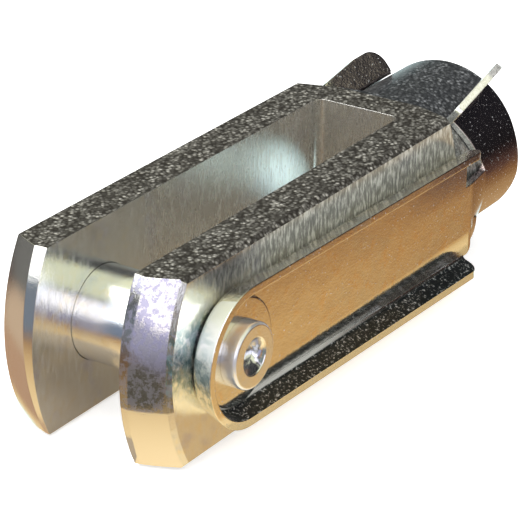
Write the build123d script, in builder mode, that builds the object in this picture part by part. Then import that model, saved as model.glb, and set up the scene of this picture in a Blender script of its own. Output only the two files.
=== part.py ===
from build123d import *
import os
from math import cos, hypot, radians, sin, sqrt, tan

# Clevis rod end with a snap-on clip pin, 10 x 40, thread M10.
# X runs along the rod axis towards the threaded neck, Y along the pin, Z is up.
# The origin is where the pin axis crosses the middle of the slot. Lengths are in mm.

# ---- fork head: square bar, turned at both ends, slotted, cross-bored and tapped ----
bar_width = 20.0              # across the flats of the square bar
bar_edge_chamfer = 0.5        # on the four long edges of the bar
slot_width = 10.35            # between the prongs
slot_depth = 40.0             # from the pin axis to the closed end of the slot
slot_corner_radius = 1.0      # left by the cutter at the closed end
slot_bevel_width = 0.6        # on the front, beside the slot walls' front edges, at the bottom
slot_bevel_depth = 0.1        # on the slot walls, at the bottom
slot_bevel_widening = 0.8     # how much wider the bevels are at the top
slot_bevel_deepening = 0.5    # how much deeper the bevels are at the top
end_wall = 5.0                # from the closed end of the slot to the neck
front_reach = 12.2            # from the pin axis to the top of the turned front
front_dome_radius = 21.5      # the front is turned to a dome
rear_cone_deg = 29.0          # turned cone, measured from a plane across X
neck_diameter = 18.8
neck_length = 15.0
neck_end_chamfer = 0.6
thread_core_diameter = 8.5    # tapping drill of the M10 thread
thread_mouth_diameter = 10.4  # countersink at the neck's end

# ---- clevis pin: a turned shank with a rivet end that holds the clip ----
pin_diameter = 10.0
pin_clearance = 0.05          # radial, in the prongs' bores
pin_far_stand_out = 0.5       # beyond the far prong
pin_end_chamfer = 0.8
rivet_shank_diameter = 5.0
rivet_head_diameter = 6.9
rivet_head_height = 1.7       # above the clip's boss
rivet_head_edge = 0.35        # rounding of the head's rim
rivet_dimple_diameter = 4.0
rivet_dimple_depth = 1.0
rivet_fit = 0.01              # radial, in the clip's hole
bore_edge_chamfer = 0.4       # on the bores' outer rims

# ---- spring clip: one strip of sheet ----
sheet = 0.8                   # thickness
side_clearance = 0.05         # between the side plate and the fork's flank
neck_clearance = 0.1          # between the clip and the neck
plate_half_height = 6.5       # from the pin axis to the root of the flange
plate_drop_deg = 1.3          # the side plate dips towards the rear
flange_height = 2.95          # from the fork's flank side of the plate to the crest
flange_flare_deg = 17.0
bend_outer_radius = 1.4
bend_inner_radius = 0.7
flange_corner_radius = 1.4    # at the flanges' rear ends
boss_rise = 0.6               # of the round boss pressed outwards behind the rivet head
boss_edge_radius = 0.2
pocket_clearance = 0.25       # radial, between the pin's end and the hollow behind the boss
pocket_wall = 0.4             # radial, from that hollow to the boss's rim
tongue_overhang = 1.5         # plate beyond the fork's square part
tongue_top = 1.4              # upper edge of the tongue, where the slit above it ends
tongue_bottom = -6.8          # lower edge of the tongue
tongue_corner_radius = 1.0    # lower rear corner of the tongue
saddle_width = 1.8            # strip under the neck, behind the tongue
saddle_sink = 0.3             # the strip leaves the tongue this far inwards of its face
saddle_bend_radius = 7.1      # outer radius where the strip turns under the neck
arm_gap = 2.2                 # between the saddle strip and the near arm, bridged by the joggle
arm_lean = 2.5                # the near arm's front edge leans forward towards its top
far_arm_gap = 0.3             # between the fork's shoulder and the far arm
near_arm_setback = 2.0        # from the near arm's rear edge to the neck's end
far_arm_setback = 4.5         # from the far arm's rear edge to the neck's end
arm_low_z = -4.1              # lower edge of the arms
arm_top_deg = 47.0            # where the arms end and the lips begin, above the horizontal
arm_corner_radius = 3.2       # lower rear corner of the arms
lip_rise_deg = 51.5           # slope of the flared lips above the horizontal
lip_closing = 0.13            # how far the lip's root closes in, per mm of length
lip_front_rise = 2.2          # height of the lips' front ends
lip_front_share = 0.6         # part of the length over which the lips reach full height
lip_corner_radius = 2.2       # upper rear corner of the lips
near_lip_height = 4.3         # from the fold to the lip's upper edge
far_lip_height = 3.0

# ---- places worked out from the sizes above ----
half_bar = bar_width / 2
half_slot = slot_width / 2
front_x = -front_reach
shoulder_x = slot_depth + end_wall
neck_end_x = shoulder_x + neck_length
rear_slope = tan(radians(rear_cone_deg))
neck_radius = neck_diameter / 2
turning_radius = 0.75 * bar_width
bore_radius = pin_diameter / 2 + pin_clearance

plate_inner_y = half_bar + side_clearance
plate_outer_y = plate_inner_y + sheet
pocket_radius = pin_diameter / 2 + pocket_clearance
boss_radius = pocket_radius + pocket_wall
boss_y = plate_outer_y + boss_rise
arm_inner_radius = neck_radius + neck_clearance
arm_outer_radius = arm_inner_radius + sheet
arm_middle_radius = arm_inner_radius + sheet / 2
tongue_end_x = shoulder_x + tongue_overhang
near_arm_x = tongue_end_x + saddle_width + arm_gap
far_arm_x = shoulder_x + far_arm_gap


# ---- fork head ----
def dome_x(radius):
    """Where the turned front lies, at a distance from the rod axis."""
    return front_x + front_dome_radius - sqrt(front_dome_radius**2 - radius**2)


def bevel_section(side, height):
    """A triangle across the front edge of a slot wall, at one height."""
    share = height / bar_width + 0.5
    width = slot_bevel_width + slot_bevel_widening * share
    depth = slot_bevel_depth + slot_bevel_deepening * share
    edge_x = dome_x(hypot(half_slot, height))
    on_wall = Vector(edge_x + depth, side * half_slot, height)
    on_dome = Vector(dome_x(hypot(half_slot + width, height)), side * (half_slot + width), height)
    across = (on_dome - on_wall) * 0.3
    outside = Vector(edge_x - 2 * width, side * (half_slot - depth), height)
    return make_face(Polyline(on_wall - across, on_dome + across, outside, close=True).edges())


bevel_heights = [share * half_bar for share in (-1.1, -0.55, 0, 0.55, 1.1)]
left_bevel = loft([bevel_section(-1, height) for height in bevel_heights])
right_bevel = loft([bevel_section(1, height) for height in bevel_heights])

with BuildPart() as fork_head:
    with BuildSketch(Plane.YZ.offset(front_x)) as bar_section:
        Rectangle(bar_width, bar_width)
        chamfer(bar_section.vertices(), bar_edge_chamfer)
    extrude(amount=neck_end_x - front_x)

    # Both ends are turned: a dome at the front, a cone and the neck at the rear.
    with BuildSketch(Plane.XZ):
        with BuildLine():
            ThreePointArc(
                (front_x, 0),
                (dome_x(turning_radius / 2), turning_radius / 2),
                (dome_x(turning_radius), turning_radius),
            )
            Polyline(
                (dome_x(turning_radius), turning_radius),
                (shoulder_x - rear_slope * (turning_radius - neck_radius), turning_radius),
                (shoulder_x, neck_radius),
                (neck_end_x - neck_end_chamfer, neck_radius),
                (neck_end_x, neck_radius - neck_end_chamfer),
                (neck_end_x, 0),
                (front_x, 0),
            )
        make_face()
    revolve(axis=Axis.X, mode=Mode.INTERSECT)

    # The slot is open at the front, above and below.
    slot_length = slot_depth + front_reach
    with BuildSketch(Plane.XY.offset(-bar_width)) as slot_plan:
        with Locations((slot_depth - slot_length, 0)):
            Rectangle(2 * slot_length, slot_width)
        fillet(slot_plan.vertices().group_by(Axis.X)[-1], slot_corner_radius)
    extrude(amount=2 * bar_width, mode=Mode.SUBTRACT)

    # The front edge of each slot wall is bevelled along its curve, most at the top.
    add(left_bevel, mode=Mode.SUBTRACT)
    add(right_bevel, mode=Mode.SUBTRACT)

    with Locations(Plane.XZ):
        Hole(bore_radius)
    flank_rims = fork_head.edges().filter_by(
        lambda edge: edge.geom_type == GeomType.CIRCLE
        and abs(abs(edge.center().Y) - half_bar) < 0.01
    )
    chamfer(flank_rims, bore_edge_chamfer)

    with Locations(Plane.YZ.offset(neck_end_x)):
        CounterSinkHole(
            thread_core_diameter / 2,
            thread_mouth_diameter / 2,
            depth=neck_end_x - slot_depth + slot_corner_radius,
            counter_sink_angle=90,
        )

fork_head.part.label = "fork_head"


# ---- clevis pin ----
with BuildPart() as clevis_pin:
    far_end_y = half_bar + pin_far_stand_out
    shank = pin_diameter / 2
    rivet = rivet_shank_diameter / 2
    head = rivet_head_diameter / 2
    head_face_y = boss_y + rivet_head_height
    shoulder_y = plate_inner_y + boss_rise
    dimple = rivet_dimple_diameter / 2
    dimple_floor_y = -head_face_y + rivet_dimple_depth
    with BuildSketch(Plane.XY):
        with BuildLine():
            Polyline(
                (0, dimple_floor_y),
                (0, far_end_y),
                (shank - pin_end_chamfer, far_end_y),
                (shank, far_end_y - pin_end_chamfer),
                (shank, -shoulder_y),
                (rivet, -shoulder_y),
                (rivet, -boss_y),
                (head, -boss_y),
                (head, -head_face_y),
                (dimple, -head_face_y),
                (dimple / 2, dimple_floor_y),
                close=True,
            )
        make_face()
    revolve(axis=Axis.Y)
    head_edges = clevis_pin.edges().group_by(Axis.Y)[0].sort_by(SortBy.LENGTH)
    fillet(head_edges[-1], rivet_head_edge)

clevis_pin.part.label = "clevis_pin"


# ---- spring clip ----
def lip_plane(side, start_x):
    """The middle plane of a flared lip: X along its root, Y up the lip."""
    top = radians(arm_top_deg)
    rise = radians(lip_rise_deg)
    root = Vector(start_x, side * arm_middle_radius * cos(top), arm_middle_radius * sin(top))
    along = Vector(1, -side * lip_closing, lip_closing / tan(top))
    upward = Vector(0, side * cos(rise), sin(rise))
    return Plane(origin=root, x_dir=along, z_dir=along.cross(upward))


def neck_arm(side, start_x, lean, setback, lip_height):
    """One arm: a shell beside the neck with a flared lip on its upper edge."""
    top_x = start_x - lean
    top_z = arm_outer_radius * sin(radians(arm_top_deg))
    end_x = neck_end_x - setback
    length = end_x - top_x
    plane = lip_plane(side, top_x)
    with BuildPart() as arm:
        with BuildSketch(Plane.YZ.offset(top_x)):
            Circle(arm_outer_radius)
            Circle(arm_inner_radius, mode=Mode.SUBTRACT)
        extrude(amount=length)
        with BuildSketch(Plane.XZ) as side_view:
            with BuildLine():
                Polyline(
                    (end_x, arm_low_z),
                    (start_x, arm_low_z),
                    (start_x, tongue_top),
                    (top_x, top_z),
                    (top_x, bar_width),
                    (end_x, bar_width),
                    close=True,
                )
            make_face()
            low_corners = side_view.vertices().group_by(Axis.Y)[0]
            fillet(low_corners.sort_by(Axis.X)[-1], arm_corner_radius)
        extrude(amount=-side * bar_width, mode=Mode.INTERSECT)
        with BuildSketch(plane):
            Rectangle(4 * length, bar_width)
        extrude(amount=side * bar_width, mode=Mode.SUBTRACT)

        # The lip stands on the arm's upper edge, with a round fold between them.
        with BuildSketch(plane):
            with BuildLine():
                FilletPolyline(
                    (0, 0),
                    (0, lip_front_rise),
                    (lip_front_share * length, lip_height),
                    (length, lip_height),
                    (length, 0),
                    radius=[lip_front_rise / 2, lip_height / 2, lip_corner_radius],
                )
                Line((length, 0), (0, 0))
            make_face()
        extrude(amount=sheet / 2, both=True)
        with BuildSketch(Plane(origin=plane.origin, z_dir=plane.x_dir)):
            Circle(sheet / 2)
        extrude(amount=length)
    return arm.part


near_arm = neck_arm(-1, near_arm_x, arm_lean, near_arm_setback, near_lip_height)
far_arm = neck_arm(1, far_arm_x, 0, far_arm_setback, far_lip_height)

with BuildPart() as spring_clip:
    # The side plate is a shallow dish: a flat floor with a flared flange in front, above
    # and below. It is drawn in a plane that dips with the plate, and pressed outwards.
    drop = radians(plate_drop_deg)
    flare = radians(flange_flare_deg)
    plate_plane = Plane(
        origin=(0, -plate_inner_y, 0),
        x_dir=(cos(drop), 0, -sin(drop)),
        z_dir=(0, -1, 0),
    )
    floor_plane = plate_plane.offset(sheet)
    flange_end = shoulder_x / cos(drop)
    hollow_half_height = plate_half_height + sheet * tan(flare) - sheet / cos(flare)
    with BuildSketch(plate_plane):
        Circle(plate_half_height)
        Rectangle(flange_end + sheet, 2 * plate_half_height, align=(Align.MIN, Align.CENTER))
    extrude(amount=flange_height, taper=-flange_flare_deg)
    with BuildSketch(floor_plane):
        Circle(hollow_half_height)
        Rectangle(2 * flange_end, 2 * hollow_half_height, align=(Align.MIN, Align.CENTER))
    extrude(amount=flange_height, taper=-flange_flare_deg, mode=Mode.SUBTRACT)
    with BuildSketch(plate_plane):
        with Locations((flange_end, 0)):
            Rectangle(flange_end, 4 * plate_half_height, align=(Align.MIN, Align.CENTER))
    extrude(amount=2 * flange_height, mode=Mode.SUBTRACT)
    back_y = -plate_inner_y
    floor_y = -plate_outer_y
    back_edges = spring_clip.edges().filter_by(
        lambda edge: abs(edge.center().Y - back_y) < 0.01 and edge.center().X < flange_end - sheet
    )
    fillet(back_edges, bend_outer_radius)
    floor_edges = spring_clip.edges().filter_by(
        lambda edge: edge.bounding_box().size.Y < 0.01
        and abs(edge.center().Y - floor_y) < 0.01
        and edge.center().X < flange_end - sheet
    )
    fillet(floor_edges, bend_inner_radius)
    crest_y = -plate_inner_y - flange_height
    crest_corners = spring_clip.edges().filter_by(
        lambda edge: abs(edge.center().Y - crest_y) < 0.01
        and edge.length < 2 * sheet
        and edge.center().X > flange_end / 2
    )
    fillet(crest_corners, flange_corner_radius)

    # A round boss is pressed outwards. The pin's end sits in its hollow, and the rivet
    # goes through a hole in its middle.
    with BuildSketch(floor_plane):
        Circle(boss_radius)
    extrude(amount=boss_rise)
    boss_rim = spring_clip.edges().filter_by(
        lambda edge: edge.geom_type == GeomType.CIRCLE
        and abs(edge.center().Y + boss_y) < 0.01
        and abs(edge.radius - boss_radius) < 0.01
    )
    fillet(boss_rim, boss_edge_radius)
    with BuildSketch(plate_plane):
        Circle(pocket_radius)
    extrude(amount=boss_rise, mode=Mode.SUBTRACT)
    with BuildSketch(plate_plane):
        Circle(rivet_shank_diameter / 2 + rivet_fit)
    extrude(amount=sheet + boss_rise, mode=Mode.SUBTRACT)

    # The floor runs on past the flanges, then joggles inwards to the near arm.
    with BuildSketch(Plane.XZ.offset(plate_inner_y)) as tongue:
        with Locations((tongue_end_x, tongue_bottom)):
            Rectangle(
                tongue_overhang + sheet, tongue_top - tongue_bottom, align=(Align.MAX, Align.MIN)
            )
        low_corners = tongue.vertices().group_by(Axis.Y)[0]
        fillet(low_corners.sort_by(Axis.X)[-1], tongue_corner_radius)
    extrude(amount=sheet)
    joggle_size = (bar_width, tongue_top - arm_low_z)
    with BuildSketch(Plane.YZ.offset(tongue_end_x)):
        with Locations((-plate_inner_y, arm_low_z)):
            Rectangle(sheet, joggle_size[1], align=(Align.MAX, Align.MIN))
    with BuildSketch(Plane.YZ.offset(near_arm_x)):
        Circle(arm_outer_radius)
        Circle(arm_inner_radius, mode=Mode.SUBTRACT)
        with Locations((0, arm_low_z)):
            Rectangle(*joggle_size, align=(Align.MAX, Align.MIN), mode=Mode.INTERSECT)
    loft(ruled=True)

    # The saddle strip turns under the neck and up its far side.
    middle_bend = saddle_bend_radius - sheet / 2
    with BuildSketch(Plane.YZ.offset(tongue_end_x)):
        with BuildLine():
            bend_y = saddle_bend_radius - plate_outer_y + saddle_sink
            bend_z = saddle_bend_radius - arm_outer_radius
            CenterArc((bend_y, bend_z), middle_bend, 180, 90)
            Line((bend_y, bend_z - middle_bend), (0, -arm_middle_radius))
            CenterArc((0, 0), arm_middle_radius, 270, 90)
        trace(line_width=sheet)
    extrude(amount=saddle_width)
    add(near_arm)
    add(far_arm)

spring_clip.part.label = "spring_clip"

os.makedirs("parts", exist_ok=True)
export_step(fork_head.part, "parts/fork_head.step")
export_step(clevis_pin.part, "parts/clevis_pin.step")
export_step(spring_clip.part, "parts/spring_clip.step")
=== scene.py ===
# %% [markdown]
# # Clevis rod end: finishes, light and camera
#
# The part is a square steel fork with a tapped neck, a pin across its two prongs and a
# sprung clip that holds the pin. All three are zinc plated. Their shapes come from the
# frame, so this lesson gives them their finishes, grows the thread and sets up the studio.
# Everything is in metres, with X along the rod and Y along the pin.

# %% Open the frame
import math

import bpy
from mathutils import Matrix, Vector


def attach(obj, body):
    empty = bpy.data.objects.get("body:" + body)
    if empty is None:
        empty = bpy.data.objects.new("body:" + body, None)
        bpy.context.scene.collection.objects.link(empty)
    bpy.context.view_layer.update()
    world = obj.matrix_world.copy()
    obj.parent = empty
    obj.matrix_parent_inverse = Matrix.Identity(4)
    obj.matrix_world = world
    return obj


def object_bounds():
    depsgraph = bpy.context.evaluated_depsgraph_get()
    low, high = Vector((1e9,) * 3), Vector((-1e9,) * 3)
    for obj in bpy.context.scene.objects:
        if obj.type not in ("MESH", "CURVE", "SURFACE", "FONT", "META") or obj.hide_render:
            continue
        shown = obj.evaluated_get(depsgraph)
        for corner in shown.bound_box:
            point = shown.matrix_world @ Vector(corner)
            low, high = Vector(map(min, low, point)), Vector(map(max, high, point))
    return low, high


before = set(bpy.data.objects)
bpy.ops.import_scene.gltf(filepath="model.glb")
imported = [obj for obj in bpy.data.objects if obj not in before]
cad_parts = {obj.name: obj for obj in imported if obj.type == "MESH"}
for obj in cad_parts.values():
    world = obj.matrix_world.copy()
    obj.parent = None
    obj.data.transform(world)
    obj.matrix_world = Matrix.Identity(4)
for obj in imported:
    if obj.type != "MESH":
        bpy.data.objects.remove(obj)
box_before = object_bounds()
scene = bpy.context.scene
MM = 0.001
print("nodes:", sorted(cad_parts))

# %% [markdown]
# ## Camera
#
# A long lens, a little over a quarter of a metre away, shows the part from above its
# front corner. The camera is built from a place and a point that it looks at, and rolled
# by about a quarter of a degree so that the upright edges stand as they should.

# %% Camera
camera_place = Vector((-0.19617, -0.14291, 0.11679))
camera_aim = Vector((0.02077, 0.0, -0.00092))
camera_roll = math.radians(0.28)

camera_data = bpy.data.cameras.new("camera")
camera_data.lens = 188.84
camera_data.sensor_width = 36.0
camera_data.clip_start = 0.01
camera = bpy.data.objects.new("camera", camera_data)
facing = (camera_aim - camera_place).to_track_quat("-Z", "Y").to_matrix().to_4x4()
camera.matrix_world = Matrix.Translation(camera_place) @ facing @ Matrix.Rotation(camera_roll, 4, "Z")
scene.collection.objects.link(camera)
scene.camera = camera
print("camera stands", round((camera_aim - camera_place).length, 3), "m from its aim")

# %% [markdown]
# ## A short way to write node trees
#
# Every finish below is a tree of nodes. One helper adds a node, sets its options and
# fills its sockets, either with a value or with a link from another node, so that a
# tree reads from top to bottom like a recipe.

# %% Node helpers
def put(tree, kind, sockets=None, **options):
    """Add a shader node; a socket takes a value or a link from another socket."""
    made = tree.nodes.new("ShaderNode" + kind)
    for name, value in options.items():
        setattr(made, name, value)
    for name, value in (sockets or {}).items():
        if isinstance(value, bpy.types.NodeSocket):
            tree.links.new(value, made.inputs[name])
        else:
            made.inputs[name].default_value = value
    return made


def axes(tree, vector):
    """The three numbers of a vector."""
    return put(tree, "SeparateXYZ", {0: vector}).outputs[:]


def maths(tree, operation, first, second=0.0):
    """One arithmetic step on two numbers."""
    return put(tree, "Math", {0: first, 1: second}, operation=operation).outputs[0]


def both(tree, first, *others):
    """The product of several masks or shares, which is 1 only where all of them are."""
    for other in others:
        first = maths(tree, "MULTIPLY", first, other)
    return first


def between(tree, value, low, high):
    """0 at low, 1 at high and a smooth slope between; low may be the larger of the two."""
    sockets = {"Value": value, "From Min": low, "From Max": high}
    return put(tree, "MapRange", sockets, interpolation_type="SMOOTHSTEP").outputs["Result"]


def blend_colours(tree, share, first, second):
    """The first colour where share is 0, the second where it is 1."""
    made = put(tree, "Mix", data_type="RGBA")
    for socket, value in ((made.inputs[0], share), (made.inputs[6], first), (made.inputs[7], second)):
        if isinstance(value, bpy.types.NodeSocket):
            tree.links.new(value, socket)
        elif isinstance(value, tuple):
            socket.default_value = (*value, 1.0)
        else:
            socket.default_value = value
    return made.outputs[2]


print("helpers: put, axes, maths, both, between, blend_colours")

# %% [markdown]
# ## Studio
#
# Bright metal has hardly any colour of its own: it shows the room around it. So the room
# is drawn with care. It is warm and golden below, as over a wooden bench, nearly black
# on the far right, and has large white softboxes overhead and at the front left. The
# floor is plain and pale, and the metal sees the bench instead of the floor.

# %% Light and dark patches on the room's walls
patches = [
    # direction, full inside and gone outside (degrees), colour
    ((0.20, 0.50, 0.84), 24, 35, (0.84, 0.87, 0.62)),
    ((-0.33, 0.93, 0.15), 14, 22, (0.13, 0.13, 0.125)),
    ((-0.87, 0.50, 0.00), 12, 20, (0.15, 0.19, 0.26)),
    ((-0.55, 0.30, 0.75), 34, 41, (2.10, 2.15, 2.20)),
    ((-0.95, -0.33, -0.05), 16, 24, (0.36, 0.36, 0.52)),
    ((-0.88, -0.05, -0.50), 11.5, 13.5, (0.17, 0.155, 0.12)),
    ((-0.85, -0.33, 0.42), 20, 26, (1.60, 1.55, 1.70)),
    ((0.22, -0.83, 0.51), 14, 24, (0.80, 0.80, 0.58)),
    ((-0.35, -0.84, -0.36), 12, 20, (0.17, 0.22, 0.23)),
    ((-0.32, -0.88, 0.27), 18, 26, (1.25, 1.22, 1.35)),
    ((0.76, 0.50, -0.41), 18, 30, (1.25, 1.60, 1.60)),
    ((0.02, -0.52, 0.86), 24, 36, (0.84, 0.86, 0.62)),
    ((-0.28, 0.88, -0.38), 10, 18, (0.62, 0.45, 0.30)),
    ((0.00, 0.79, -0.62), 12, 19, (0.52, 0.31, 0.18)),
]
print(len(patches), "patches")

# %% Room that the metal reflects
world = bpy.data.worlds.new("studio_room")
scene.world = world
world.use_nodes = True
room = world.node_tree
room.nodes.clear()
direction = put(room, "TexCoord").outputs["Generated"]
height = axes(room, direction)[2]
ramp = put(room, "ValToRGB", {0: put(room, "MapRange", {"Value": height, "From Min": -1.0}).outputs[0]})
levels = [
    # height from -1 (straight down) to 1 (straight up), colour
    (-1.00, (1.30, 1.00, 0.56)),
    (-0.78, (1.05, 0.78, 0.40)),
    (-0.46, (0.66, 0.43, 0.18)),
    (-0.34, (0.40, 0.22, 0.085)),
    (-0.22, (0.17, 0.095, 0.065)),
    (-0.05, (0.045, 0.025, 0.02)),
    (0.05, (0.006, 0.006, 0.007)),
    (0.60, (0.010, 0.012, 0.018)),
    (1.00, (0.20, 0.22, 0.24)),
]
for level in levels[1:-1]:
    ramp.color_ramp.elements.new((level[0] + 1) / 2)
for element, (at, colour) in zip(ramp.color_ramp.elements, levels):
    element.position = (at + 1) / 2
    element.color = (*colour, 1.0)
colour = ramp.outputs["Color"]
for toward, inner, outer, shade in patches:
    middle = Vector(toward).normalized()
    nearness = put(room, "VectorMath", {0: direction, 1: middle}, operation="DOT_PRODUCT").outputs["Value"]
    share = between(room, nearness, math.cos(math.radians(outer)), math.cos(math.radians(inner)))
    colour = blend_colours(room, share, colour, shade)
seen_in_metal = put(room, "LightPath").outputs["Is Glossy Ray"]
colour = blend_colours(room, seen_in_metal, (1.0, 1.0, 1.0), colour)
background = put(room, "Background", {"Color": colour, "Strength": 1.0})
put(room, "OutputWorld", {"Surface": background.outputs[0]})
scene.view_settings.view_transform = "Standard"
print("room:", len(room.nodes), "nodes")

# %% [markdown]
# ## Floor, cards and lamp
#
# The floor is plain and gives off a little light of its own, so that shadows stay faint.
# Metal doesn't see it. Two cards are there for the metal alone. One lies under the slot
# and takes the gold out of its walls. The other stands in the mouth of the neck's bore,
# for the daylight that falls in through the neck, and puts a cool gleam on the far wall.

# %% A flat sheet for the stage
def flat_sheet(name, low, high, z, colour, glow):
    """A level rectangle with a plain glowing finish, for the stage only."""
    mesh = bpy.data.meshes.new(name)
    corners = [(low[0], low[1], z), (high[0], low[1], z), (high[0], high[1], z), (low[0], high[1], z)]
    mesh.from_pydata(corners, [], [(0, 1, 2, 3)])
    sheet = bpy.data.objects.new(name, mesh)
    scene.collection.objects.link(sheet)
    material = bpy.data.materials.new(name)
    material.use_nodes = True
    surface = material.node_tree.nodes["Principled BSDF"].inputs
    surface["Base Color"].default_value = (*colour, 1.0)
    surface["Roughness"].default_value = 0.9
    surface["Emission Color"].default_value = (*colour, 1.0)
    surface["Emission Strength"].default_value = glow
    mesh.materials.append(material)
    return sheet


print("helper: flat_sheet")

# %% Floor
floor_half = 1.5
floor_white = (0.94, 0.94, 0.94)
floor_glow = 0.62
floor_z = box_before[0][2] - 0.05 * MM
floor = flat_sheet(
    "pale_floor", (-floor_half, -floor_half), (floor_half, floor_half), floor_z, floor_white, floor_glow
)
floor.visible_glossy = False
print("floor at z =", round(floor_z * 1000, 2), "mm")

# %% Cards that only the metal sees
# The first card fills the slot's plan, just above the floor.
slot_low = (-12.0 * MM, -5.1 * MM)
slot_high = (40.0 * MM, 5.1 * MM)
slot_card_z = floor_z + 0.1 * MM
slot_card = flat_sheet("slot_card", slot_low, slot_high, slot_card_z, (0.36, 0.28, 0.19), 0.26)

glow_half = 4.2 * MM
glow_x = 40.4 * MM
glow_fades_from = 0.6 * MM
glow_gone_at = 4.4 * MM
glow_strength = 1.35
neck_glow = flat_sheet(
    "neck_glow", (-glow_half, -glow_half), (glow_half, glow_half), 0.0, (0.62, 0.80, 0.84), 0.0
)
neck_glow.rotation_euler = (0.0, math.radians(90), 0.0)
neck_glow.location = (glow_x, 0.0, 0.0)
# Its light fades from the middle to the rim, so that no hard edge shows in the wall.
glow_tree = neck_glow.data.materials[0].node_tree
spot = put(glow_tree, "TexCoord").outputs["Object"]
reach = put(glow_tree, "VectorMath", {0: spot}, operation="LENGTH").outputs["Value"]
faded = between(glow_tree, reach, glow_gone_at, glow_fades_from)
glow = maths(glow_tree, "MULTIPLY", faded, glow_strength)
glow_tree.links.new(glow, glow_tree.nodes["Principled BSDF"].inputs["Emission Strength"])
for card in (slot_card, neck_glow):
    card.visible_camera = False
    card.visible_diffuse = False
    card.visible_shadow = False
    print("card:", card.name)

# %% Lamp
lamp_data = bpy.data.lights.new("overhead_softbox", "AREA")
lamp_data.shape = "DISK"
lamp_data.size = 0.5
lamp_data.energy = 2.0
lamp = bpy.data.objects.new("overhead_softbox", lamp_data)
lamp_place = Vector((-0.20, 0.20, 0.55))
lamp_aim = (-lamp_place).to_track_quat("-Z", "Y").to_matrix().to_4x4()
lamp.matrix_world = Matrix.Translation(lamp_place) @ lamp_aim
scene.collection.objects.link(lamp)
print("lamp stands", round(lamp_place.length, 2), "m away")

# %% [markdown]
# ## Zinc
#
# Bright zinc plate is a thin, slightly cloudy metal film. Three things make it: a
# colour that drifts between bluish, neutral and straw, a roughness that drifts too, and
# a relief in the metal below it, which differs with how that surface was made. The
# relief is written in millimetres and turned into tilted normals by a Bump node. Each
# piece gets its own mix, because the fork was drawn and milled, the pin turned and the
# clip stamped from rolled strip.

# %% Parts of a zinc finish
def start_zinc(name):
    """A new material, its tree, and a point on the piece in millimetres."""
    material = bpy.data.materials.new(name)
    material.use_nodes = True
    tree = material.node_tree
    tree.nodes.clear()
    spot = put(tree, "TexCoord").outputs["Object"]
    point = put(tree, "VectorMath", {0: spot, "Scale": 1000.0}, operation="SCALE").outputs[0]
    return material, tree, point


def grain(tree, point, per_mm, detail=2.0, rough=0.5):
    """A noise whose cells are 1 / per_mm long, along each axis."""
    stretched = put(tree, "VectorMath", {0: point, 1: per_mm}, operation="MULTIPLY").outputs[0]
    sockets = {"Vector": stretched, "Scale": 1.0, "Detail": detail, "Roughness": rough}
    return put(tree, "TexNoise", sockets).outputs["Fac"]


def cloudy_colour(tree, point, cool, plain, straw):
    """A colour that drifts between three tones in soft blotches."""
    slow = grain(tree, point, (0.16, 0.2, 0.2), 3.0, 0.6)
    quick = grain(tree, point, (0.7, 0.7, 0.7), 4.0, 0.65)
    first = blend_colours(tree, between(tree, slow, 0.35, 0.5), cool, plain)
    return blend_colours(tree, between(tree, quick, 0.5, 0.72), first, straw)


def mix(tree, share, first, second):
    """The first number where share is 0, the second where it is 1."""
    return put(tree, "Mix", {0: share, 2: first, 3: second}, data_type="FLOAT").outputs[0]


def finish_zinc(material, tree, colour, roughness, relief, bloom, edge=0.12 * MM):
    """Join colour, roughness, relief and dull bloom into a surface with softened edges."""
    soft_edges = put(tree, "Bevel", {"Radius": edge}, samples=4)
    bump = put(
        tree,
        "Bump",
        {"Height": relief, "Normal": soft_edges.outputs[0], "Strength": 1.0, "Distance": MM},
    )
    metallic = maths(tree, "SUBTRACT", 1.0, bloom)
    metal = put(
        tree,
        "BsdfPrincipled",
        {"Base Color": colour, "Metallic": metallic, "Roughness": roughness, "Normal": bump.outputs[0]},
    )
    put(tree, "OutputMaterial", {"Surface": metal.outputs[0]})


print("helpers: start_zinc, grain, cloudy_colour, mix, finish_zinc")

# %% [markdown]
# ## Fork head
#
# The fork is a length of cold drawn square bar. Its upper and lower faces keep the
# bar's skin, which is pitted like fine orange peel. The flanks and the slot are milled,
# which leaves fine upright streaks. The two ends are turned, which leaves rings. The
# piece's own normal tells which face a point is on, so one material serves all of them.

# %% Fork head: which face is this?
# Places on the piece, in millimetres.
slot_side = 5.3
slot_end = 40.2
neck_start = 44.0
front_end = -5.0

fork_zinc, tree, point = start_zinc("fork_zinc")
way_x, way_y, way_z = axes(tree, put(tree, "TexCoord").outputs["Normal"])
x, y, z = axes(tree, point)
on_skin = between(tree, maths(tree, "ABSOLUTE", way_z), 0.60, 0.70)
off_skin = maths(tree, "SUBTRACT", 1.0, on_skin)
on_side = between(tree, maths(tree, "ABSOLUTE", way_y), 0.60, 0.70)
between_prongs = maths(tree, "LESS_THAN", maths(tree, "ABSOLUTE", y), slot_side)
in_slot = both(tree, between_prongs, maths(tree, "LESS_THAN", x, slot_end), off_skin)
on_flank = both(tree, on_side, maths(tree, "SUBTRACT", 1.0, in_slot))
on_neck = maths(tree, "GREATER_THAN", x, neck_start)
on_front = both(tree, maths(tree, "LESS_THAN", way_x, -0.5), maths(tree, "LESS_THAN", x, front_end))
leather = maths(tree, "MAXIMUM", on_skin, maths(tree, "MULTIPLY", on_neck, 0.6))
dull_flank = both(tree, on_flank, between(tree, x, 0.0, 8.0))
print("fork_zinc: masks for the skin, the flanks, the slot, the neck and the front")

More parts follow.
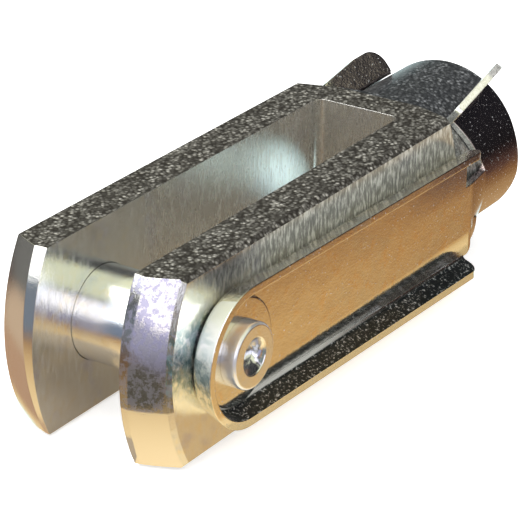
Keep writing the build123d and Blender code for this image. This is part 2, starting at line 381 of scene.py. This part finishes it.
# %% Fork head: relief
def pebbles(tree, point, per_mm):
    """Round grains, each with its own brightness: 0 in the gaps, up to 1 on a grain."""
    stretched = put(tree, "VectorMath", {0: point, 1: per_mm}, operation="MULTIPLY").outputs[0]
    cells = put(tree, "TexVoronoi", {"Vector": stretched, "Scale": 1.0, "Randomness": 1.0})
    top = put(tree, "MapRange", {"Value": cells.outputs["Distance"], "From Min": 0.78, "From Max": 0.22})
    own = put(tree, "SeparateColor", {"Color": cells.outputs["Color"]}).outputs[0]
    brightness = mix(tree, maths(tree, "POWER", own, 1.7), 0.14, 1.0)
    return maths(tree, "MULTIPLY", top.outputs["Result"], brightness)


grains = pebbles(tree, point, (2.7, 2.7, 2.7))
patchy = between(tree, grain(tree, point, (0.22, 0.5, 0.5), 2.0, 0.5), 0.35, 0.65)
blob = maths(tree, "MULTIPLY", grains, mix(tree, patchy, 0.7, 1.1))
streaks = grain(tree, point, (2.6, 2.6, 0.7), 4.0, 0.65)
streak = between(tree, streaks, 0.42, 0.64)
rings = grain(tree, point, (7.0, 0.4, 0.4), 2.0, 0.6)
fine = grain(tree, point, (6.0, 6.0, 6.0), 2.0, 0.6)
relief = mix(tree, on_side, maths(tree, "MULTIPLY", rings, 0.004), maths(tree, "MULTIPLY", streaks, 0.020))
relief = mix(tree, leather, relief, maths(tree, "MULTIPLY", grains, 0.05))
relief = maths(tree, "ADD", relief, maths(tree, "MULTIPLY", fine, mix(tree, on_flank, 0.007, 0.011)))
print("fork_zinc: relief")

# %% Fork head: colour
far_in_slot = both(tree, in_slot, between(tree, x, 5.0, 11.0))
near_prong = maths(tree, "LESS_THAN", y, 0.0)
colour = cloudy_colour(tree, point, (0.70, 0.71, 0.80), (0.82, 0.83, 0.81), (0.84, 0.80, 0.68))
mottle = between(tree, grain(tree, point, (1.5, 1.5, 1.5), 5.0, 0.7), 0.46, 0.55)
above_gold = between(tree, z, -3.2, -2.9)
at_front = both(tree, on_front, near_prong, above_gold)
# Painted shade: the near prong's turned front is darkened in a band just above its gold lower part, fading
# out by 5 mm up.
painted_shade_front = both(tree, at_front, between(tree, z, 5.0, 1.0))
mottle = both(tree, mottle, at_front)
colour = blend_colours(tree, on_front, colour, (0.78, 0.76, 0.71))
colour = blend_colours(tree, maths(tree, "MULTIPLY", mottle, 0.8), colour, (0.36, 0.35, 0.50))
colour = blend_colours(tree, maths(tree, "MULTIPLY", painted_shade_front, 0.75), colour, (0.20, 0.18, 0.16))
colour = blend_colours(tree, maths(tree, "MULTIPLY", far_in_slot, 0.8), colour, (0.66, 0.64, 0.59))
colour = blend_colours(tree, maths(tree, "MULTIPLY", dull_flank, 0.80), colour, (0.29, 0.30, 0.25))
# A cool tint lies on the flank's round front, beside the clip: partly a stain of the plating, partly a
# painted reflection.
stain_and_painted_reflection = between(tree, grain(tree, point, (1.3, 1.3, 1.3), 5.0, 0.7), 0.42, 0.56)
beside_clip = both(tree, on_flank, near_prong, between(tree, x, 2.0, -1.0))
stain_and_painted_reflection = both(tree, stain_and_painted_reflection, beside_clip, between(tree, z, 6.5, 4.0), between(tree, z, -2.0, 0.5))
colour = blend_colours(tree, maths(tree, "MULTIPLY", stain_and_painted_reflection, 0.8), colour, (0.24, 0.38, 0.40))
bright = both(tree, streak, mix(tree, dull_flank, 0.12, 0.68), on_side)
colour = blend_colours(tree, bright, colour, (0.80, 0.82, 0.74))
skin_colour = blend_colours(tree, blob, (0.085, 0.076, 0.065), (0.64, 0.62, 0.56))
neck_colour = blend_colours(tree, blob, (0.08, 0.085, 0.09), (0.36, 0.37, 0.39))
skin_colour = blend_colours(tree, on_neck, skin_colour, neck_colour)
colour = blend_colours(tree, leather, colour, skin_colour)
print("fork_zinc: colour")

# %% Fork head: bloom and roughness
bloom = mix(tree, far_in_slot, 0.05, 0.11)
bloom = mix(tree, dull_flank, bloom, 0.42)
bloom = maths(tree, "ADD", bloom, maths(tree, "MULTIPLY", bright, 0.4))
bloom = maths(tree, "ADD", bloom, maths(tree, "MULTIPLY", mottle, 0.25))
bloom = mix(tree, leather, bloom, mix(tree, blob, 0.30, 0.65))
roughness = mix(tree, streak, 0.12, 0.26)
roughness = mix(tree, far_in_slot, roughness, mix(tree, streak, 0.21, 0.31))
roughness = mix(tree, on_front, roughness, 0.10)
roughness = mix(tree, leather, roughness, mix(tree, blob, 0.30, 0.50))
finish_zinc(fork_zinc, tree, colour, roughness, relief, bloom)
print("fork_zinc:", len(tree.nodes), "nodes")

# %% [markdown]
# ## Pin
#
# The pin is turned, so its marks run round the Y axis. A point's distance from that
# axis and its place along it are joined into a flat pair of numbers. A noise on that
# pair is the same all the way round, which is what a lathe tool leaves.

# %% Pin finish
pin_zinc, tree, point = start_zinc("pin_zinc")
x, y, z = axes(tree, point)
flat = put(tree, "CombineXYZ", {"X": x, "Y": z}).outputs[0]
radius = put(tree, "VectorMath", {0: flat}, operation="LENGTH").outputs["Value"]
lathe = put(tree, "CombineXYZ", {"X": radius, "Y": y}).outputs[0]
rings = grain(tree, lathe, (6.0, 6.0, 1.0), 2.0, 0.6)
fine = grain(tree, point, (6.0, 6.0, 6.0), 3.0, 0.6)
relief = maths(tree, "ADD", maths(tree, "MULTIPLY", rings, 0.006), maths(tree, "MULTIPLY", fine, 0.013))
pin_colour = cloudy_colour(tree, point, (0.84, 0.87, 0.91), (0.91, 0.91, 0.89), (0.92, 0.87, 0.76))
# The rivet's dimple keeps the marks of the punch.
in_head = maths(tree, "LESS_THAN", y, -12.0)
punched = both(tree, in_head, maths(tree, "LESS_THAN", radius, 1.9))
marks = grain(tree, point, (0.45, 0.45, 0.45), 0.0, 0.5)
relief = maths(tree, "ADD", relief, both(tree, punched, marks, 1.6))
roughness = put(tree, "MapRange", {"Value": fine, "To Min": 0.06, "To Max": 0.22}).outputs["Result"]
# The side of the rivet head is a little dull.
on_head = maths(tree, "LESS_THAN", y, -11.4)
dull = both(tree, on_head, maths(tree, "GREATER_THAN", radius, 3.2))
bloom = mix(tree, dull, maths(tree, "MULTIPLY", fine, 0.08), 0.32)
finish_zinc(pin_zinc, tree, pin_colour, roughness, relief, bloom)
print("pin_zinc:", len(tree.nodes), "nodes")

# %% [markdown]
# ## Clip
#
# The clip is stamped from bright rolled strip, the smoothest surface of the three. It
# mirrors the room almost cleanly. Faint rolling lines run along X, and fine specks of
# the plating catch the light.

# %% Clip: where on the strip is this?
# Places on the piece, in millimetres.
web_end = 46.0
flange_top = -3.5
rim_end = 1.0

clip_zinc, tree, point = start_zinc("clip_zinc")
way_x, way_y, way_z = axes(tree, put(tree, "TexCoord").outputs["Normal"])
x, y, z = axes(tree, point)
on_web = both(tree, maths(tree, "LESS_THAN", way_y, -0.97), maths(tree, "LESS_THAN", x, web_end))
below_web = maths(tree, "LESS_THAN", z, flange_top)
in_gutter = both(tree, between(tree, way_z, 0.45, 0.75), below_web)
leaning = both(tree, between(tree, way_z, 0.03, 0.12), maths(tree, "LESS_THAN", way_z, 0.62))
on_bend = both(tree, leaning, below_web, between(tree, x, 30.0, 12.0))
arms_painted_shade = between(tree, x, web_end, web_end + 1.0)
on_rim = both(tree, maths(tree, "LESS_THAN", x, rim_end), maths(tree, "LESS_THAN", way_x, -0.35))
faces_front = maths(tree, "LESS_THAN", way_x, -0.6)
cut_edge = both(tree, faces_front, maths(tree, "GREATER_THAN", x, 40.0), between(tree, z, 0.5, 3.0))
on_near_side = maths(tree, "LESS_THAN", y, 0.0)
near_lip = both(tree, maths(tree, "GREATER_THAN", z, 8.9), on_near_side)
print("clip_zinc: masks for the web, the gutter, the bend, the rim, the arms and the near lip")

# %% Clip: relief
rolled = grain(tree, point, (0.25, 5.0, 5.0), 2.0, 0.6)
specks = grain(tree, point, (3.6, 3.6, 3.6), 2.0, 0.6)
waves = grain(tree, point, (0.35, 0.35, 0.35), 2.0, 0.5)
twist = maths(tree, "MULTIPLY", x, z)
above_middle = maths(tree, "POWER", maths(tree, "MAXIMUM", z, 0.0), 2.0)
foot = maths(tree, "MAXIMUM", maths(tree, "SUBTRACT", -4.1, z), 0.0)
pressed_foot = both(tree, on_web, maths(tree, "POWER", foot, 2.0))
rear = maths(tree, "MAXIMUM", maths(tree, "SUBTRACT", x, 32.0), 0.0)
bent_corner = both(tree, on_web, rear, above_middle)
relief = 0.0
for height, shape in (
    (0.0015, rolled),
    (0.018, specks),
    (0.05, waves),
    (-0.0012, twist),
    (-0.006, above_middle),
    (-0.14, pressed_foot),
    (-0.0013, bent_corner),
):
    relief = maths(tree, "ADD", relief, maths(tree, "MULTIPLY", shape, height))
print("clip_zinc: relief")

# %% Clip: colour
speck = between(tree, specks, 0.65, 0.72)
sparkle = between(tree, grain(tree, point, (3.0, 3.0, 3.0), 3.0, 0.7), 0.56, 0.64)
bright = maths(tree, "MAXIMUM", speck, both(tree, sparkle, in_gutter))
# Painted highlight: the bend above the lower flange, the rim's round front and the front-facing cut edge near
# the neck are pale.
painted_highlight = maths(tree, "MAXIMUM", on_bend, maths(tree, "MAXIMUM", on_rim, cut_edge))
# Painted highlight: the web's foot, from about 4.2 mm below the middle down, turns pale and cool for the
# bright band along the bend.
painted_foot_highlight = between(tree, both(tree, on_web, foot), 0.15, 0.7)
# Painted reflection: a cool teal band, in patches, across the middle height of the rim's round front.
stain_and_painted_reflection = between(tree, grain(tree, point, (1.3, 1.3, 1.3), 5.0, 0.7), 0.45, 0.56)
stain_and_painted_reflection = both(tree, stain_and_painted_reflection, on_rim, between(tree, z, 3.5, 1.0), between(tree, z, -4.0, -2.0))
colour = cloudy_colour(tree, point, (0.90, 0.89, 0.84), (0.93, 0.87, 0.76), (0.96, 0.82, 0.62))
colour = blend_colours(tree, painted_foot_highlight, colour, (0.93, 0.95, 0.93))
# Painted shade: the arms round the neck are darker and pinkish brown.
colour = blend_colours(tree, arms_painted_shade, colour, (0.50, 0.42, 0.42))
# Painted shade: the gutter of the lower flange is nearly black.
colour = blend_colours(tree, in_gutter, colour, (0.07, 0.085, 0.095))
colour = blend_colours(tree, bright, colour, (0.90, 0.92, 0.92))
colour = blend_colours(tree, painted_highlight, colour, (0.94, 0.95, 0.88))
colour = blend_colours(tree, both(tree, stain_and_painted_reflection, 0.7), colour, (0.28, 0.38, 0.40))
# Painted highlight: the near lip over the neck is pale.
colour = blend_colours(tree, near_lip, colour, (0.93, 0.92, 0.86))
print("clip_zinc: colour")

# %% Clip: bloom and roughness
upper_rim = both(tree, on_rim, between(tree, z, -1.0, 3.0))
bloom = mix(tree, bright, 0.01, 0.40)
for dullness in (
    both(tree, on_bend, 0.50),
    both(tree, upper_rim, 0.35),
    both(tree, cut_edge, 0.12),
    both(tree, near_lip, specks, 0.85),
):
    bloom = maths(tree, "MAXIMUM", bloom, dullness)
roughness = put(tree, "MapRange", {"Value": specks, "To Min": 0.06, "To Max": 0.22}).outputs["Result"]
roughness = mix(tree, in_gutter, roughness, 0.35)
finish_zinc(clip_zinc, tree, colour, roughness, relief, bloom, 0.22 * MM)
print("clip_zinc:", len(tree.nodes), "nodes")

# %% Put the finishes on
for name, material in (("fork_head", fork_zinc), ("clevis_pin", pin_zinc), ("spring_clip", clip_zinc)):
    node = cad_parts[name]
    node.data.materials.clear()
    node.data.materials.append(material)
    print(name, "has", material.name)

# %% [markdown]
# ## Thread
#
# The neck is tapped for an M10 rod. The frame holds only the plain core, so the crests
# are grown here, by Geometry Nodes: a spiral with a three-sided ridge swept along it.
# The ridge's flat side is sunk a little into the wall, and its point faces the axis.

# %% A node group that grows a thread
def add_node(group, kind, sockets=None, **options):
    """One geometry node with its options, links and values."""
    made = group.nodes.new(kind)
    for name, value in options.items():
        setattr(made, name, value)
    for name, value in (sockets or {}).items():
        if isinstance(value, bpy.types.NodeSocket):
            group.links.new(value, made.inputs[name])
        else:
            made.inputs[name].default_value = value
    return made


def number_input(group, name, value):
    """A named number on the outside of the group."""
    made = group.interface.new_socket(name, in_out="INPUT", socket_type="NodeSocketFloat")
    made.default_value = value
    return made.identifier


grow = bpy.data.node_groups.new("grow_thread", "GeometryNodeTree")
thread_sizes = {
    "Start": 41.0 * MM,
    "Pitch": 1.5 * MM,
    "Turns": 11.8,
    "Wall radius": 4.25 * MM,
    "Crest height": 0.32 * MM,
}
sizes_in = {name: number_input(grow, name, value) for name, value in thread_sizes.items()}
finish_socket = grow.interface.new_socket("Finish", in_out="INPUT", socket_type="NodeSocketMaterial")
look_in = finish_socket.identifier
grow.interface.new_socket("Geometry", in_out="OUTPUT", socket_type="NodeSocketGeometry")
given = grow.nodes.new("NodeGroupInput")
result = grow.nodes.new("NodeGroupOutput")
print("thread group with inputs", list(sizes_in))

# %% The helix, the ridge and the sweep
# A three-sided circle reaches its radius at a point and half of it at a flat side. With
# these two shares the point stands out by the crest height and the flat side lies inside
# the wall by a fifth of it.
RADIUS_PER_CREST = 0.8
SINK_PER_RADIUS = 0.25
steps_per_turn = 48
ridge_stretch = 1.7

half = maths(grow, "MULTIPLY", given.outputs["Crest height"], RADIUS_PER_CREST)
sink = maths(grow, "MULTIPLY", half, SINK_PER_RADIUS)
middle = maths(grow, "SUBTRACT", given.outputs["Wall radius"], sink)
length = maths(grow, "MULTIPLY", given.outputs["Pitch"], given.outputs["Turns"])
helix = add_node(
    grow,
    "GeometryNodeCurveSpiral",
    {
        "Resolution": steps_per_turn,
        "Rotations": given.outputs["Turns"],
        "Start Radius": middle,
        "End Radius": middle,
        "Height": length,
    },
)
upright = add_node(grow, "GeometryNodeSetCurveNormal", {0: helix.outputs[0]}, mode="Z_UP")
ridge = add_node(grow, "GeometryNodeCurvePrimitiveCircle", {"Resolution": 3, "Radius": half}, mode="RADIUS")
stretched = {"Geometry": ridge.outputs[0], "Scale": (1.0, ridge_stretch, 1.0)}
wide_ridge = add_node(grow, "GeometryNodeTransform", stretched)
sweep = add_node(
    grow, "GeometryNodeCurveToMesh", {0: upright.outputs[0], 1: wide_ridge.outputs[0], "Fill Caps": True}
)
start = add_node(grow, "ShaderNodeCombineXYZ", {"X": given.outputs["Start"]}).outputs[0]
laid = add_node(
    grow,
    "GeometryNodeTransform",
    {"Geometry": sweep.outputs[0], "Translation": start, "Rotation": (0.0, math.radians(90), 0.0)},
)
whole = add_node(grow, "GeometryNodeRealizeInstances", {"Geometry": laid.outputs[0]})
finished = add_node(
    grow, "GeometryNodeSetMaterial", {"Geometry": whole.outputs[0], "Material": given.outputs["Finish"]}
)
grow.links.new(finished.outputs[0], result.inputs[0])
print("thread group has", len(grow.nodes), "nodes")

# %% Grow the thread and keep it as a plain mesh
seed = bpy.data.objects.new("thread_seed", bpy.data.meshes.new("thread_seed"))
scene.collection.objects.link(seed)
grower = seed.modifiers.new("grow_thread", "NODES")
grower.node_group = grow
for name, value in thread_sizes.items():
    grower[sizes_in[name]] = value
grower[look_in] = fork_zinc
grown = bpy.data.meshes.new_from_object(seed.evaluated_get(bpy.context.evaluated_depsgraph_get()))
seed.modifiers.remove(grower)
bpy.data.objects.remove(seed)
grown.name = "rod_thread"
thread = bpy.data.objects.new("rod_thread", grown)
scene.collection.objects.link(thread)
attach(thread, "fork")
reach = [math.hypot(v.co.y, v.co.z) * 1000 for v in grown.vertices]
along = [v.co.x * 1000 for v in grown.vertices]
print("thread:", len(grown.polygons), "faces, radius", round(min(reach), 2), "to", round(max(reach), 2), "mm")
print("thread runs from", round(min(along), 2), "to", round(max(along), 2), "mm")
